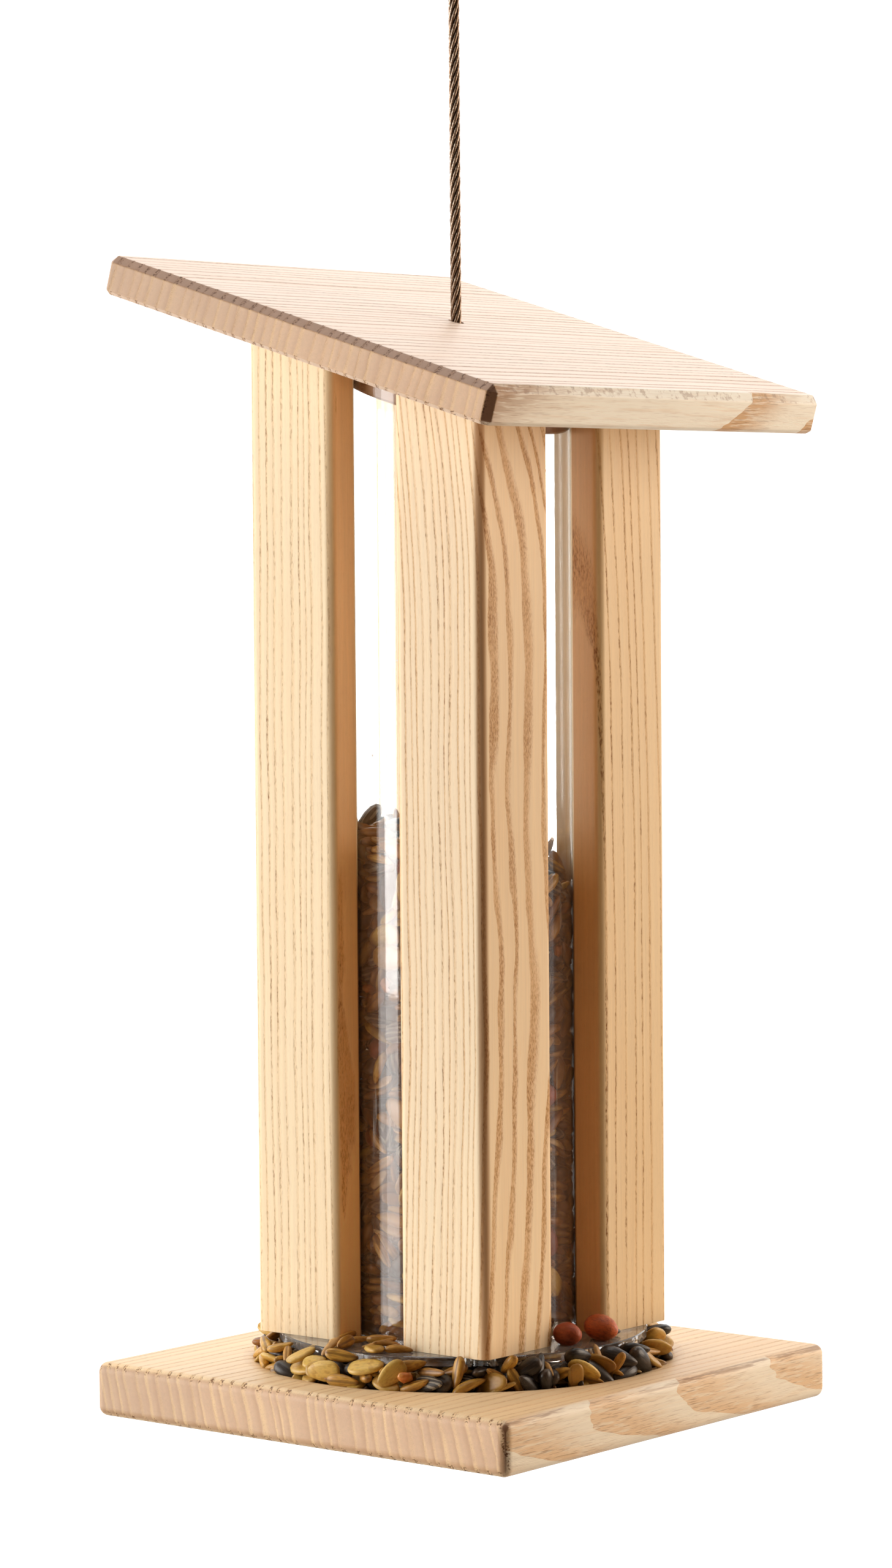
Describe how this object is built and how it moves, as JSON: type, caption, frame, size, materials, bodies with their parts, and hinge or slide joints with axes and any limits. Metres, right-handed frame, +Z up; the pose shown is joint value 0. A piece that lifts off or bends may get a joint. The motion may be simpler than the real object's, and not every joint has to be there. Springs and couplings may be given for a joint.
{
  "type": "hanging bird feeding house",
  "caption": "Hanging bird feeding house: square wooden tray with a seed dish, coved corner posts around a clear seed tube, and a sloping roof that lifts up its hanging wire for filling.",
  "frame": {"origin": "middle of the tray's underside", "axes": "+Z up along the hanging wire, +X the way the roof falls, +Y along the roof's eaves"},
  "size_m": [0.16, 0.162, 0.4787],
  "materials": {
    "tray_ash": "sanded and oiled ash",
    "post_ash": "sanded and oiled ash",
    "roof_ash": "sanded and oiled ash",
    "plug_wood": "sanded hardwood",
    "clear_acrylic": "clear, polished",
    "dark_steel": "blackened, threaded",
    "bright_steel": "bright",
    "sleeve_aluminium": "crimped",
    "wire_steel": "twisted strands",
    "seed_mix": "loose mixed seed"
  },
  "bodies": {
    "house": {"tray": "tray_ash", "post_left": "post_ash", "post_front": "post_ash", "post_right": "post_ash", "post_back": "post_ash", "seed_tube": "clear_acrylic", "base_ring": "clear_acrylic", "post_screws": "dark_steel", "hanging_wire": "wire_steel", "stop_washer": "bright_steel", "wire_stop": "sleeve_aluminium", "loop_ferrule": "sleeve_aluminium", "hanging_loop": "wire_steel", "seed_column": "seed_mix", "seed_bed": "seed_mix"},
    "roof": {"roof": "roof_ash", "roof_plug": "plug_wood"}
  },
  "joints": [
    {"name": "roof_lift", "type": "slide", "parent": "house", "child": "roof", "axis": [0, 0, 1], "range_m": [0, 0.098]}
  ]
}
